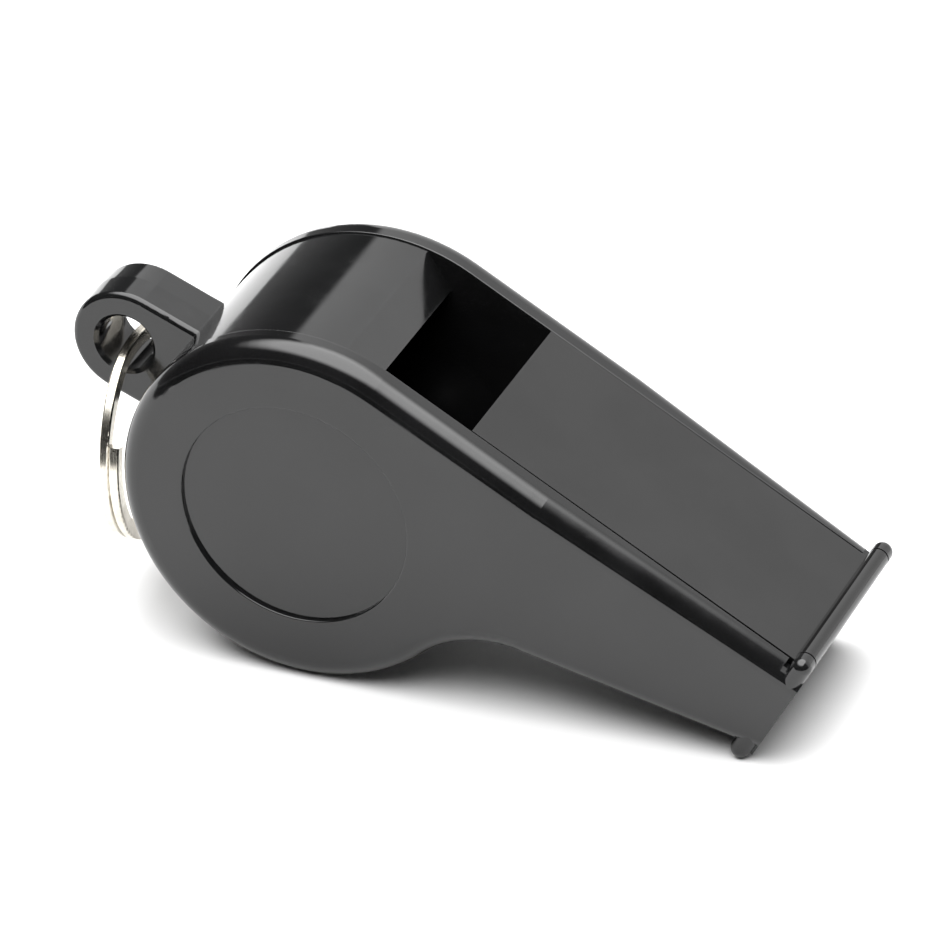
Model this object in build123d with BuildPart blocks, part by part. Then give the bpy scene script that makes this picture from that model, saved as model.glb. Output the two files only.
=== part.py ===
"""Training whistle: a moulded pea whistle with a split ring.

Everything on the body is drawn in one side view, the SIDE plane. Its origin is the drum's axis, its local
x runs along the top of the mouthpiece towards the lips and its local y points out of the top. The plane is
tipped nose-down, because the whistle rests on the bottom of its drum and on its lower bite bead.
Row frame: +X towards the mouth, +Y towards the right side plate, +Z up, floor at Z = 0. Millimetres.
"""
from build123d import *
from math import asin, atan2, cos, degrees, hypot, radians, sin, tan
import os

# ---- driving dimensions -------------------------------------------------------------------------------
DRUM_R = 11.75            # rim radius of the side plates; the flat top is tangent to it
BAND_W = 12.5             # width of the barrel between the side plates
BODY_W = 16.6             # over both side plates at the drum
MOUTH_W = 15.0            # over both side plates at the mouth end
MOUTH_U = 31.0            # drum axis to the mouth end
TAPER_U = 12.2            # where the side plates start to close in
RIM_STEP = 0.12           # the side plates stand this proud of the barrel
EDGE_R = 1.3              # round-over on the outer edge of the side plates
SEAM_R = 0.08             # small rounding on their inner edge, along the seams

CHAMBER_R = 9.8           # bore of the drum
CREASE_DEG = 104.5        # where the lip's ramp leaves the drum
RAMP_DEG = 30.0           # fall of the ramp from the flat top
LIP_U = -0.4              # sharp edge of the lip
WINDOW_U = 6.1            # front edge of the windway cover

FLOOR_DEG = 15.5          # the mouthpiece's underside rises this much towards the lips
FLOOR_DROP = 3.4          # drum axis down to the underside's line, square to it
THROAT_R = 7.0            # concave blend from the drum to the underside
WALL = 1.5                # wall under the mouthpiece

BEAD_R = 0.65             # bite beads
BEAD_U = 30.35
LOWER_BEAD_U = 30.2
BEAD_RISE = 0.4           # bead's centre beyond the surface it stands on
RAIL_END_U = 29.4         # the side plates' rails stop short of the bead
RAIL_NOTCH = 0.45

COVER_T = 1.4             # thickness of the windway cover
COVER_GAP = 0.04          # seam beside the cover at the window
COVER_GAP_MOUTH = 0.12    # seam beside the cover at the mouth
SLOT_REAR = 1.2           # height of the windway where it meets the window
SLOT_FRONT = 2.0          # height of the windway at the mouth
CORE_WALL = 1.2           # walls of the windway block, cored out from below
CORE_RIB_U = 16.0

RECESS_R = 7.45           # badge recess in each side plate
RECESS_DEPTH = 0.28
RECESS_EDGE_R = 0.1

LUG_U, LUG_V = -14.9, -1.84
LUG_R = 3.6
LUG_T = 4.2
LUG_DRAFT_DEG = 2.0
LUG_EDGE_R = 0.35
BORE_R = 1.85
BORE_CHAMFER = 0.25

PEA_R = 4.2
PEA_CLEARANCE = 0.35

RING_R = 6.5              # split ring: radius to the middle of the wire
WIRE_RADIAL = 1.0
WIRE_AXIAL = 0.64
WIRE_EDGE_R = 0.14
COIL_GAP = 0.02
RING_SAG = 0.65           # middle of the wire below the middle of the lug's bore
RING_YAW_DEG = 6.4        # the ring hangs a little askew
COIL_END_DEG = 70.0       # where one coil ends, measured from the bore round the left side
STEP_HALF_DEG = 30.0      # half the angle in which the wire crosses from one coil to the other
STEP_SECTIONS = 7

# ---- derived sizes ------------------------------------------------------------------------------------
PLATE_T = (BODY_W - BAND_W) / 2
HALF_BAND = BAND_W / 2
TOP = DRUM_R
BEAD_V = TOP + BEAD_RISE
LOBE_ROOT = EDGE_R + BEAD_RISE


def underside(u, rise=0.0):
    """Height of the mouthpiece's underside at u, or of a line that lies 'rise' above it."""
    slope = radians(FLOOR_DEG)
    return (rise - FLOOR_DROP) / cos(slope) + u * tan(slope)


LOWER_BEAD_V = underside(LOWER_BEAD_U, -BEAD_RISE)

# The resting line touches the drum below and the lower bead below.
PITCH_DEG = degrees(
    atan2(LOWER_BEAD_V, LOWER_BEAD_U) + asin((DRUM_R - BEAD_R) / hypot(LOWER_BEAD_U, LOWER_BEAD_V))
)


def to_row(u, v, x0=0.0):
    """Row X and Z of a point of the side view, for a drum axis at x0."""
    pitch = radians(PITCH_DEG)
    return x0 + u * cos(pitch) + v * sin(pitch), DRUM_R - u * sin(pitch) + v * cos(pitch)


# The origin lies under the middle of the whistle's length, from the lug to the upper bite bead.
BACK_X = to_row(LUG_U, LUG_V)[0] - LUG_R - LUG_T / 2 * tan(radians(LUG_DRAFT_DEG))
FRONT_X = to_row(BEAD_U, BEAD_V)[0] + BEAD_R
DRUM_X = -(BACK_X + FRONT_X) / 2

pitch_cos = cos(radians(PITCH_DEG))
pitch_sin = sin(radians(PITCH_DEG))
SIDE = Plane(origin=(DRUM_X, 0, DRUM_R), x_dir=(pitch_cos, 0, -pitch_sin), z_dir=(0, -1, 0))

os.makedirs("parts", exist_ok=True)


# Side view of the body: the drum, the mouthpiece and the concave throat under it.
with BuildSketch() as body_side:
    Circle(DRUM_R)
    with BuildLine():
        Polyline(
            (0, TOP),
            (MOUTH_U, TOP),
            (MOUTH_U, underside(MOUTH_U)),
            (0, underside(0)),
            close=True,
        )
    make_face()
    throat = body_side.vertices().sort_by_distance((DRUM_R, 0, 0))[0]
    fillet(throat, radius=THROAT_R)


# ---- barrel: drum band, lip, mouthpiece floor and lug ---------------------------------------------------
crease_u = (DRUM_R - RIM_STEP) * cos(radians(CREASE_DEG))
crease_v = (DRUM_R - RIM_STEP) * sin(radians(CREASE_DEG))
ramp_fall = tan(radians(RAMP_DEG))
lip_v = crease_v - (LIP_U - crease_u) * ramp_fall
lug_deg = degrees(atan2(LUG_V, LUG_U))
lug_reach = hypot(LUG_U, LUG_V) - (DRUM_R - 1.4)

with BuildPart() as barrel:
    # lug: a radial tab, drawn on its own first so that only its own rims are rounded
    with BuildSketch(SIDE):
        with Locations((LUG_U, LUG_V)):
            Circle(LUG_R)
            Rectangle(lug_reach, 2 * LUG_R, rotation=lug_deg + 180, align=(Align.MIN, Align.CENTER))
    extrude(amount=LUG_T / 2, both=True, taper=LUG_DRAFT_DEG)
    fillet(barrel.faces().filter_by(Axis.Y).edges(), radius=LUG_EDGE_R)
    # drum band and mouthpiece
    with BuildSketch(SIDE):
        add(body_side.sketch)
        offset(amount=-RIM_STEP, kind=Kind.INTERSECTION, mode=Mode.REPLACE)
    extrude(amount=HALF_BAND, both=True)
    # lower bite bead
    with BuildSketch(SIDE):
        with Locations((LOWER_BEAD_U, LOWER_BEAD_V)):
            Circle(BEAD_R)
            Rectangle(2 * BEAD_R, 1.5 * BEAD_R, align=(Align.CENTER, Align.MIN))
    extrude(amount=HALF_BAND, both=True)
    # chamber
    with BuildSketch(SIDE):
        Circle(CHAMBER_R)
    extrude(amount=HALF_BAND, both=True, mode=Mode.SUBTRACT)
    # everything above the mouthpiece's floor, up to the lip's ramp
    with BuildSketch(SIDE):
        with BuildLine():
            Polyline(
                (LIP_U, lip_v),
                (crease_u - 2, crease_v + 2 * ramp_fall),
                (MOUTH_U + 5, TOP + 5),
                (MOUTH_U + 5, underside(MOUTH_U + 5, WALL)),
                (CHAMBER_R / 2, underside(CHAMBER_R / 2, WALL)),
                close=True,
            )
        make_face()
    extrude(amount=HALF_BAND, both=True, mode=Mode.SUBTRACT)
    # lug's bore
    with BuildSketch(SIDE):
        with Locations((LUG_U, LUG_V)):
            Circle(BORE_R)
    extrude(amount=LUG_T, both=True, mode=Mode.SUBTRACT)
    bore_rims = barrel.edges().filter_by(
        lambda e: e.geom_type == GeomType.CIRCLE and abs(e.radius - BORE_R) < 0.01 and e.is_closed
    )
    chamfer(bore_rims, length=BORE_CHAMFER)
barrel.part.label = "barrel"
export_step(barrel.part, "parts/barrel.step")

# ---- side plates --------------------------------------------------------------------------------------
TAPER = atan2((BODY_W - MOUTH_W) / 2, MOUTH_U - TAPER_U)
KNOB_REACH = MOUTH_W / 2 - BEAD_R


def side_plate(side):
    """One side plate. side is 1 for the left plate, which faces -Y, and -1 for the right one."""
    inner = SIDE.offset(side * HALF_BAND)
    outer = SIDE.offset(side * BODY_W / 2)
    outward = SIDE.z_dir * side
    with BuildPart() as plate:
        with BuildSketch(inner):
            add(body_side.sketch)
        extrude(amount=side * PLATE_T)
        # the outer face closes in towards the mouth
        taper_line = outer.from_local_coords((TAPER_U, 0, 0))
        tilted = outward * cos(TAPER) + SIDE.x_dir * sin(TAPER)
        split(bisect_by=Plane(origin=taper_line, x_dir=SIDE.y_dir, z_dir=tilted), keep=Keep.BOTTOM)
        # round-over along the outer face, but not across its taper line or down the mouth end
        faces = plate.faces().filter_by(lambda f: f.normal_at().dot(outward) > 0.9)
        rim = faces.edges().filter_by(
            lambda e: abs(e.tangent_at(0.5).dot(SIDE.y_dir)) < 0.999 or e.geom_type != GeomType.LINE
        )
        fillet(rim, radius=EDGE_R)
        inner_face = plate.faces().sort_by(Axis(inner.origin, outward))[0]
        fillet(inner_face.edges(), radius=SEAM_R)
        # the rail on top ends in a notch beside the bite bead
        with BuildSketch(inner):
            with Locations((MOUTH_U, TOP)):
                Rectangle(2 * (MOUTH_U - RAIL_END_U), 2 * RAIL_NOTCH)
        extrude(amount=side * PLATE_T, mode=Mode.SUBTRACT)
        # badge recess
        with BuildSketch(outer):
            Circle(RECESS_R)
        extrude(amount=-side * RECESS_DEPTH, mode=Mode.SUBTRACT)
        recess_rim = plate.edges().filter_by(
            lambda e: e.geom_type == GeomType.CIRCLE and abs(e.radius - RECESS_R) < 0.01
        )
        fillet(recess_rim.sort_by(Axis(inner.origin, outward))[-1], radius=RECESS_EDGE_R)
        # ends of the bite beads: round lobes that grow out of the plate's corners
        for u, v, root, root_align in (
            (BEAD_U, BEAD_V, -1, Align.MAX),
            (LOWER_BEAD_U, LOWER_BEAD_V, 1, Align.MIN),
        ):
            with BuildSketch(inner):
                with Locations((u, v)):
                    Circle(BEAD_R)
                with Locations((MOUTH_U, v)):
                    Rectangle(MOUTH_U - u + BEAD_R, LOBE_ROOT, align=(Align.MAX, root_align))
            extrude(amount=side * (KNOB_REACH - HALF_BAND))
            lobe_end = inner.from_local_coords((u, v, side * (KNOB_REACH - HALF_BAND)))
            with Locations(lobe_end):
                Sphere(BEAD_R)
            with BuildSketch(Plane(origin=lobe_end, x_dir=SIDE.x_dir, z_dir=SIDE.y_dir * root)):
                Circle(BEAD_R)
            extrude(amount=LOBE_ROOT)
        split(bisect_by=inner, keep=Keep.TOP if side > 0 else Keep.BOTTOM)
    return plate.part


for plate_name, plate_side in (("side_plate_left", 1), ("side_plate_right", -1)):
    plate_part = side_plate(plate_side)
    plate_part.label = plate_name
    export_step(plate_part, f"parts/{plate_name}.step")

# ---- windway cover ------------------------------------------------------------------------------------
draw_in = atan2(COVER_GAP_MOUTH - COVER_GAP, MOUTH_U - WINDOW_U)
with BuildPart() as windway_cover:
    with BuildSketch(SIDE):
        with BuildLine():
            Polyline(
                (WINDOW_U, TOP - COVER_T),
                (WINDOW_U, TOP),
                (MOUTH_U, TOP),
                (MOUTH_U, TOP - COVER_T),
                close=True,
            )
        make_face()
        with Locations((BEAD_U, BEAD_V)):
            Circle(BEAD_R)
            Rectangle(1.4 * BEAD_R, 2 * BEAD_RISE, align=(Align.CENTER, Align.MAX))
    extrude(amount=HALF_BAND, both=True)
    # the sides draw in a little, so that the seam opens towards the mouth
    for side in (1, -1):
        flank = SIDE.from_local_coords((WINDOW_U, 0, side * (HALF_BAND - COVER_GAP)))
        facing = SIDE.z_dir * side * cos(draw_in) + SIDE.x_dir * sin(draw_in)
        split(bisect_by=Plane(origin=flank, x_dir=SIDE.y_dir, z_dir=facing), keep=Keep.BOTTOM)
windway_cover.part.label = "windway_cover"
export_step(windway_cover.part, "parts/windway_cover.step")

# ---- windway block: floor of the windway and front wall of the chamber ------------------------------------
slot_floor_rear = TOP - COVER_T - SLOT_REAR
slot_floor_front = TOP - COVER_T - SLOT_FRONT
with BuildPart() as windway_block:
    with BuildSketch(SIDE):
        with BuildLine():
            Polyline(
                (WINDOW_U, slot_floor_rear),
                (MOUTH_U - BEAD_R, slot_floor_front),
                (MOUTH_U - BEAD_R, underside(MOUTH_U - BEAD_R, WALL)),
                (WINDOW_U, underside(WINDOW_U, WALL)),
                close=True,
            )
        make_face()
        Circle(CHAMBER_R, mode=Mode.SUBTRACT)
    extrude(amount=HALF_BAND, both=True)
    # cored out from below on both sides of a rib
    with BuildSketch(SIDE):
        with BuildLine():
            Polyline(
                (CHAMBER_R + CORE_WALL, slot_floor_rear - CORE_WALL),
                (MOUTH_U - 3 * BEAD_R, slot_floor_front - CORE_WALL),
                (MOUTH_U - 3 * BEAD_R, underside(MOUTH_U, 0)),
                (CHAMBER_R + CORE_WALL, 0),
                close=True,
            )
        make_face()
        with Locations((CORE_RIB_U, 0)):
            Rectangle(CORE_WALL, 4 * TOP, mode=Mode.SUBTRACT)
    extrude(amount=HALF_BAND - CORE_WALL, both=True, mode=Mode.SUBTRACT)
windway_block.part.label = "windway_block"
export_step(windway_block.part, "parts/windway_block.step")

# ---- pea ----------------------------------------------------------------------------------------------
orbit = CHAMBER_R - PEA_R - PEA_CLEARANCE
with BuildPart() as pea:
    with Locations((DRUM_X, 0, DRUM_R - orbit)):
        Sphere(PEA_R)
pea.part.label = "pea"
export_step(pea.part, "parts/pea.step")

# ---- split ring: two coils of flat wire, joined by a step where the ring passes through the lug -------------
bore_x, bore_z = to_row(LUG_U, LUG_V, DRUM_X)
ring_yaw = radians(RING_YAW_DEG)
RING = Plane(
    origin=(bore_x, 0, bore_z - RING_SAG - RING_R),
    x_dir=(0, 0, 1),
    z_dir=(cos(ring_yaw), sin(ring_yaw), 0),
)
coil_shift = (WIRE_AXIAL + COIL_GAP) / 2


def wire_section(turn_deg, shift):
    """Plane across the wire, turn_deg round the ring from the bore and 'shift' towards the drum."""
    turn = radians(turn_deg)
    spot = RING.from_local_coords((RING_R * cos(turn), RING_R * sin(turn), shift))
    radial = RING.from_local_coords((cos(turn), sin(turn), 0)) - RING.origin
    return Plane(origin=spot, x_dir=radial, z_dir=radial.cross(RING.z_dir))


def draw_wire():
    """Section of the flat wire."""
    RectangleRounded(WIRE_RADIAL, WIRE_AXIAL, WIRE_EDGE_R)


coil_deg = 360 - STEP_HALF_DEG - COIL_END_DEG
ring_axis = Axis(RING.origin, RING.z_dir)
with BuildPart() as split_ring:
    # the coil beside the drum runs from its free end under the ring and up to the step
    with BuildSketch(wire_section(COIL_END_DEG, coil_shift)):
        draw_wire()
    revolve(axis=ring_axis, revolution_arc=coil_deg)
    # the outer coil starts at the step and runs the same way round
    with BuildSketch(wire_section(STEP_HALF_DEG, -coil_shift)):
        draw_wire()
    revolve(axis=ring_axis, revolution_arc=coil_deg)
    # the step crosses from one coil to the other inside the lug's bore
    for i in range(STEP_SECTIONS):
        share = 2 * i / (STEP_SECTIONS - 1) - 1
        ease = share * (3 - share * share) / 2
        with BuildSketch(wire_section(share * STEP_HALF_DEG, -coil_shift * ease)):
            draw_wire()
    loft()
split_ring.part.label = "split_ring"
export_step(split_ring.part, "parts/split_ring.step")
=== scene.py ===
"""Looks for the training whistle: polished black mouldings, a matt black pea and a plated split ring.

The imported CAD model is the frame; its nodes keep their shapes and get procedural materials.
Metres, +X towards the mouth, +Y towards the right side plate, +Z up.
"""
import math

import bmesh
import bpy
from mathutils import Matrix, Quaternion, Vector


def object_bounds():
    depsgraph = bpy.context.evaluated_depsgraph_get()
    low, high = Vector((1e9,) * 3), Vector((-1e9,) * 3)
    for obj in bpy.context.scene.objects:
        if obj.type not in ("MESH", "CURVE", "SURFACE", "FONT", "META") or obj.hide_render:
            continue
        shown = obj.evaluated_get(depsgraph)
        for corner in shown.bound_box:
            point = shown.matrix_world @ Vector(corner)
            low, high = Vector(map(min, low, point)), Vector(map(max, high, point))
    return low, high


MM = 0.001

# Camera: a long lens from the front left, a little above, with a slight roll.
VIEW_AZIMUTH = 23.94
VIEW_ELEVATION = 31.62
VIEW_ROLL = -1.9
VIEW_DISTANCE = 0.4881
LENS_MM = 306.4
AIM_OFFSET = Vector((0.35, 0, 0.30)) * MM

# Studio: radiance of each soft region of the sky round the object.
SKY_DARK = 0.03
SKY_LOW = 0.22
BACKDROP = 1.22
BACKDROP_LEFT_GAIN = 1.17   # the backdrop is this much brighter at its left end
OVERHEAD = 6.0
SEEN_PAPER = 1.3            # what the lens sees beyond the table

# Where those regions end, in degrees. Azimuth is 0 straight behind the whistle and grows to the right.
BACKDROP_LEFT = (-27.5, -25.0)
BACKDROP_RIGHT = (95.0, 70.0)
BACKDROP_TOP = (70.0, 50.0)
OVERHEAD_EDGE = 50.0        # lower edge of the overhead box, as an elevation
OVERHEAD_EDGE_DROP = 4.0    # how much lower that edge is on the camera's side
OVERHEAD_SOFTNESS = (-9.0, 14.0)
OVERHEAD_RIGHT_CUT = (0.62, 0.50)   # x over z where the box stops on the right
LOW_FILL = (28.0, -2.0)

# Table, and the black card in front of it that only reflections see. Metres.
FLOOR_ALBEDO = 0.80
TABLE_SIZE = 6.0
FLAG_EDGE_Y = -0.055
FLAG_WIDTH = 3.0
FLAG_DEPTH = 1.2
FLAG_HEIGHT = 0.4 * MM

# Black plastics: linear albedo of the moulding's darker and paler flow, and of rubbed edges.
DEEP_BLACK = 0.0050
PALE_BLACK = 0.0078
RUBBED_BLACK = (0.020, 0.020, 0.021, 1)
PLASTIC_EDGE = 0.22 * MM    # edges tighter than this are rubbed dull
WIRE_EDGE = 0.08 * MM

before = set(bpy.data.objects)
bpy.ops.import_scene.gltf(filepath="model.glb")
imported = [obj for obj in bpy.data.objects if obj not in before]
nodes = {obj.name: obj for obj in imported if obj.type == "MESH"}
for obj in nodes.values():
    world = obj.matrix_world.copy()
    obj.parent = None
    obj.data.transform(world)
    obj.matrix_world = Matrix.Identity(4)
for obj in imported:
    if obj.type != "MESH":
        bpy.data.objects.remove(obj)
cad_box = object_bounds()


# ---- node helpers -------------------------------------------------------------------------------------
class Graph:
    """A small helper round a node tree, so that each material reads as a list of steps."""

    def __init__(self, tree):
        self.tree = tree
        tree.nodes.clear()

    def node(self, kind, inputs=None, **settings):
        made = self.tree.nodes.new(kind)
        for key, value in settings.items():
            setattr(made, key, value)
        for key, value in (inputs or {}).items():
            self.feed(made.inputs[key], value)
        return made

    def feed(self, socket, value):
        if isinstance(value, bpy.types.NodeSocket):
            self.tree.links.new(value, socket)
        else:
            socket.default_value = value

    def math(self, operation, a, b=0.0, c=0.0, clamp=False):
        made = self.node("ShaderNodeMath", {0: a, 1: b, 2: c}, operation=operation, use_clamp=clamp)
        return made.outputs[0]

    def ramp(self, value, low, high, to_low=0.0, to_high=1.0):
        """Smooth step of value from low to high."""
        made = self.node(
            "ShaderNodeMapRange",
            {"Value": value, "From Min": low, "From Max": high, "To Min": to_low, "To Max": to_high},
            interpolation_type="SMOOTHSTEP",
        )
        return made.outputs["Result"]

    def blend(self, share, a, b):
        """Colour a where share is 0 and colour b where it is 1."""
        made = self.node("ShaderNodeMix", data_type="RGBA")
        self.feed(made.inputs["Factor"], share)
        self.feed(made.inputs["A"], a)
        self.feed(made.inputs["B"], b)
        return made.outputs["Result"]

    def noise(self, where, scale, detail=3.0, roughness=0.5):
        made = self.node(
            "ShaderNodeTexNoise",
            {"Vector": where, "Scale": scale, "Detail": detail, "Roughness": roughness},
        )
        return made.outputs["Fac"]


def new_material(name):
    """An empty node material with its output, and the object coordinates that its textures use."""
    material = bpy.data.materials.new(name)
    material.use_nodes = True
    graph = Graph(material.node_tree)
    output = graph.node("ShaderNodeOutputMaterial")
    where = graph.node("ShaderNodeTexCoord").outputs["Object"]
    return material, graph, output, where


def edge_wear(graph, radius):
    """1 on convex and concave edges that are tighter than radius, 0 on faces."""
    rounded = graph.node("ShaderNodeBevel", {"Radius": radius}, samples=4).outputs["Normal"]
    normal = graph.node("ShaderNodeNewGeometry").outputs["Normal"]
    made = graph.node("ShaderNodeVectorMath", {0: rounded, 1: normal}, operation="DOT_PRODUCT")
    return graph.ramp(made.outputs["Value"], 0.99, 0.90)


# ---- materials ----------------------------------------------------------------------------------------
def moulded_plastic(name, tint, seed):
    """Polished black ABS, with faint flow marks, handling haze and edges rubbed a little dull.

    tint scales the red, green and blue of the black; seed moves the marks, so that no two mouldings match.
    """
    material, graph, output, where = new_material(name)
    place = graph.node(
        "ShaderNodeMapping", {"Vector": where, "Location": (seed * 0.013, seed * 0.029, seed * 0.041)}
    ).outputs["Vector"]
    flow = graph.noise(place, 160, 3, 0.55)
    haze = graph.noise(place, 420, 5, 0.62)
    peel = graph.noise(place, 2600, 2, 0.5)
    scratches = graph.node(
        "ShaderNodeTexWave",
        {"Vector": place, "Scale": 900, "Distortion": 14, "Detail": 3, "Detail Scale": 1.6},
        bands_direction="DIAGONAL",
    ).outputs["Fac"]
    hairlines = graph.math("MULTIPLY", graph.ramp(scratches, 0.965, 1.0), graph.ramp(haze, 0.52, 0.66))
    wear = graph.math("MULTIPLY", edge_wear(graph, PLASTIC_EDGE), graph.ramp(haze, 0.30, 0.62))
    deep = tuple(DEEP_BLACK * channel for channel in tint) + (1,)
    pale = tuple(PALE_BLACK * channel for channel in tint) + (1,)
    colour = graph.blend(graph.ramp(flow, 0.3, 0.7), deep, pale)
    colour = graph.blend(graph.math("MULTIPLY", wear, 0.6), colour, RUBBED_BLACK)
    polish = graph.ramp(haze, 0.35, 0.75, 0.075, 0.135)
    roughness = graph.math("ADD", polish, graph.math("MULTIPLY", wear, 0.10))
    roughness = graph.math("ADD", roughness, graph.math("MULTIPLY", hairlines, 0.08))
    height = graph.math("MULTIPLY_ADD", peel, 0.05, graph.math("MULTIPLY", flow, 0.9))
    height = graph.math("SUBTRACT", height, graph.math("MULTIPLY", hairlines, 0.04))
    bump = graph.node("ShaderNodeBump", {"Height": height, "Strength": 0.35, "Distance": 0.012 * MM})
    shader = graph.node(
        "ShaderNodeBsdfPrincipled",
        {
            "Base Color": colour,
            "Roughness": roughness,
            "IOR": 1.52,
            "Normal": bump.outputs["Normal"],
        },
    )
    graph.feed(output.inputs["Surface"], shader.outputs["BSDF"])
    return material


def plated_steel(name):
    """Nickel-plated spring steel: warm bright metal with fine drawing marks and darker rubbed spots."""
    material, graph, output, where = new_material(name)
    squeezed = graph.node("ShaderNodeMapping", {"Vector": where, "Scale": (6.0, 1.0, 1.0)})
    drawn = graph.noise(squeezed.outputs["Vector"], 2200, 4, 0.6)
    spots = graph.noise(where, 900, 5, 0.65)
    wear = edge_wear(graph, WIRE_EDGE)
    colour = graph.blend(graph.ramp(spots, 0.35, 0.7), (0.83, 0.79, 0.70, 1), (0.66, 0.62, 0.54, 1))
    colour = graph.blend(graph.math("MULTIPLY", wear, 0.5), colour, (0.90, 0.88, 0.83, 1))
    roughness = graph.ramp(drawn, 0.3, 0.7, 0.16, 0.27)
    bump = graph.node("ShaderNodeBump", {"Height": drawn, "Strength": 0.25, "Distance": 0.01 * MM})
    shader = graph.node(
        "ShaderNodeBsdfPrincipled",
        {"Base Color": colour, "Metallic": 1.0, "Roughness": roughness, "Normal": bump.outputs["Normal"]},
    )
    graph.feed(output.inputs["Surface"], shader.outputs["BSDF"])
    return material


def moulded_pea(name):
    """Matt black plastic with a fine spark-eroded grain."""
    material, graph, output, where = new_material(name)
    grain = graph.noise(where, 3200, 3, 0.6)
    cloud = graph.noise(where, 350, 3, 0.5)
    bump = graph.node("ShaderNodeBump", {"Height": grain, "Strength": 0.5, "Distance": 0.02 * MM})
    shader = graph.node(
        "ShaderNodeBsdfPrincipled",
        {
            "Base Color": graph.blend(cloud, (0.006, 0.006, 0.007, 1), (0.011, 0.011, 0.012, 1)),
            "Roughness": graph.ramp(cloud, 0.3, 0.7, 0.50, 0.62),
            "Normal": bump.outputs["Normal"],
        },
    )
    graph.feed(output.inputs["Surface"], shader.outputs["BSDF"])
    return material


def dress(node_name, material):
    """Puts a material on a CAD node, in every slot that it has."""
    mesh = nodes[node_name].data
    if not mesh.materials:
        mesh.materials.append(material)
    for i in range(len(mesh.materials)):
        mesh.materials[i] = material


shell_finish = moulded_plastic("shell_black", (1.00, 1.02, 1.05), 1)
plate_finish = moulded_plastic("plate_black", (1.00, 1.01, 1.04), 2)
cover_finish = moulded_plastic("cover_black", (1.06, 1.05, 1.05), 3)
dress("barrel", shell_finish)
dress("windway_block", shell_finish)
dress("side_plate_left", plate_finish)
dress("side_plate_right", plate_finish)
dress("windway_cover", cover_finish)
dress("pea", moulded_pea("pea_black"))
dress("split_ring", plated_steel("plated_ring"))


# ---- studio -------------------------------------------------------------------------------------------
def plane(name, centre, size_x, size_y, material):
    """A flat stage card, level, size_x by size_y."""
    mesh_builder = bmesh.new()
    corners = [(-1, -1), (1, -1), (1, 1), (-1, 1)]
    ring = [mesh_builder.verts.new((x * size_x / 2, y * size_y / 2, 0)) for x, y in corners]
    mesh_builder.faces.new(ring)
    mesh = bpy.data.meshes.new(name)
    mesh_builder.to_mesh(mesh)
    mesh_builder.free()
    mesh.materials.append(material)
    card = bpy.data.objects.new(name, mesh)
    bpy.context.scene.collection.objects.link(card)
    card.location = centre
    return card


def flat_material(name, colour):
    """A matt paper for the stage."""
    material, graph, output, _ = new_material(name)
    shader = graph.node(
        "ShaderNodeBsdfPrincipled", {"Base Color": colour, "Roughness": 1.0, "Specular IOR Level": 0.0}
    )
    graph.feed(output.inputs["Surface"], shader.outputs["BSDF"])
    return material


def studio_floor():
    """White table, and a black card in front of it that only reflections see."""
    white = flat_material("table_white", (FLOOR_ALBEDO, FLOOR_ALBEDO, FLOOR_ALBEDO, 1))
    plane("table", (0, 0, 0), TABLE_SIZE, TABLE_SIZE, white)
    black = flat_material("flag_black", (0.0, 0.0, 0.0, 1))
    flag_centre = (0, FLAG_EDGE_Y - FLAG_DEPTH / 2, FLAG_HEIGHT)
    flag = plane("front_flag", flag_centre, FLAG_WIDTH, FLAG_DEPTH, black)
    flag.visible_camera = False
    flag.visible_diffuse = False
    flag.visible_shadow = False
    flag.visible_transmission = False


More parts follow.
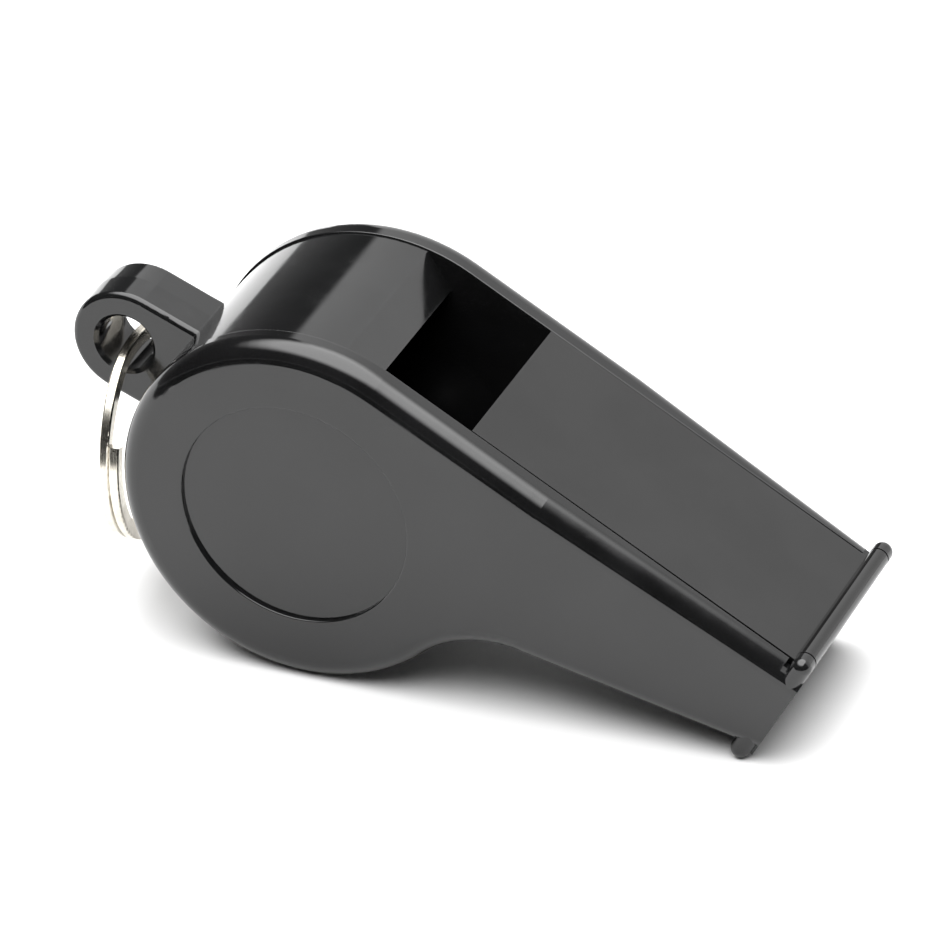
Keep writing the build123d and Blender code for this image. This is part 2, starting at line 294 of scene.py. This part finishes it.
def studio_sky():
    """Soft light all round: a bright backdrop behind, an overhead box, and a dark side behind the camera."""
    world = bpy.data.worlds.new("studio")
    world.use_nodes = True
    bpy.context.scene.world = world
    graph = Graph(world.node_tree)
    output = graph.node("ShaderNodeOutputWorld")
    direction = graph.node("ShaderNodeTexCoord").outputs["Generated"]
    axes = graph.node("ShaderNodeSeparateXYZ", {"Vector": direction})
    x, y, z = (axes.outputs[i] for i in range(3))
    azimuth = graph.math("MULTIPLY", graph.math("ARCTAN2", x, y), 180 / math.pi)
    elevation = graph.math("MULTIPLY", graph.math("ARCSINE", z), 180 / math.pi)
    # the backdrop stands behind, from a little left of straight back round to the right
    left_end = graph.ramp(azimuth, *BACKDROP_LEFT)
    right_end = graph.ramp(azimuth, *BACKDROP_RIGHT)
    behind = graph.math("MULTIPLY", left_end, right_end)
    behind = graph.math("MULTIPLY", behind, graph.ramp(elevation, *BACKDROP_TOP))
    backdrop = graph.math("MULTIPLY", behind, BACKDROP)
    left_gain = graph.ramp(azimuth, 25.0, -10.0, 1.0, BACKDROP_LEFT_GAIN)
    backdrop = graph.math("MULTIPLY", backdrop, left_gain)
    # the overhead box reaches further down towards the camera than behind
    towards_camera = graph.ramp(y, 0.5, -0.5)
    lower_edge = graph.math("MULTIPLY_ADD", towards_camera, -OVERHEAD_EDGE_DROP, OVERHEAD_EDGE)
    above = graph.ramp(graph.math("SUBTRACT", elevation, lower_edge), *OVERHEAD_SOFTNESS)
    right_cut = graph.ramp(graph.math("DIVIDE", x, z), *OVERHEAD_RIGHT_CUT)
    overhead = graph.math("MULTIPLY", graph.math("MULTIPLY", above, right_cut), OVERHEAD)
    # a weak glow low down, everywhere but on the camera's side
    low = graph.ramp(elevation, *LOW_FILL, 0.0, SKY_LOW)
    fill = graph.math("MULTIPLY", low, graph.ramp(y, -0.1, 0.3))
    total = graph.math("ADD", graph.math("ADD", backdrop, overhead), fill)
    total = graph.math("ADD", total, SKY_DARK)
    # the lens sees plain white past the table
    seen = graph.node("ShaderNodeLightPath").outputs["Is Camera Ray"]
    shown = graph.node("ShaderNodeMix", {0: seen, 2: total, 3: SEEN_PAPER}, data_type="FLOAT")
    background = graph.node(
        "ShaderNodeBackground", {"Color": (1, 1, 1, 1), "Strength": shown.outputs[0]}
    )
    graph.feed(output.inputs["Surface"], background.outputs["Background"])


def studio_camera():
    """Long lens at the product-shot angle, aimed just past the middle of the whistle."""
    azimuth = math.radians(VIEW_AZIMUTH)
    elevation = math.radians(VIEW_ELEVATION)
    back = Vector(
        (
            math.sin(azimuth) * math.cos(elevation),
            -math.cos(azimuth) * math.cos(elevation),
            math.sin(elevation),
        )
    )
    aim = (cad_box[0] + cad_box[1]) / 2 + AIM_OFFSET
    data = bpy.data.cameras.new("camera")
    data.lens = LENS_MM
    data.sensor_width = 36
    data.clip_start = 0.01
    data.clip_end = 20
    camera = bpy.data.objects.new("camera", data)
    bpy.context.scene.collection.objects.link(camera)
    camera.location = aim + back * VIEW_DISTANCE
    camera.rotation_mode = "QUATERNION"
    roll = Quaternion((0, 0, 1), math.radians(VIEW_ROLL))
    camera.rotation_quaternion = (-back).to_track_quat("-Z", "Y") @ roll
    bpy.context.scene.camera = camera


studio_floor()
studio_sky()
studio_camera()
bpy.context.scene.view_settings.view_transform = "Standard"
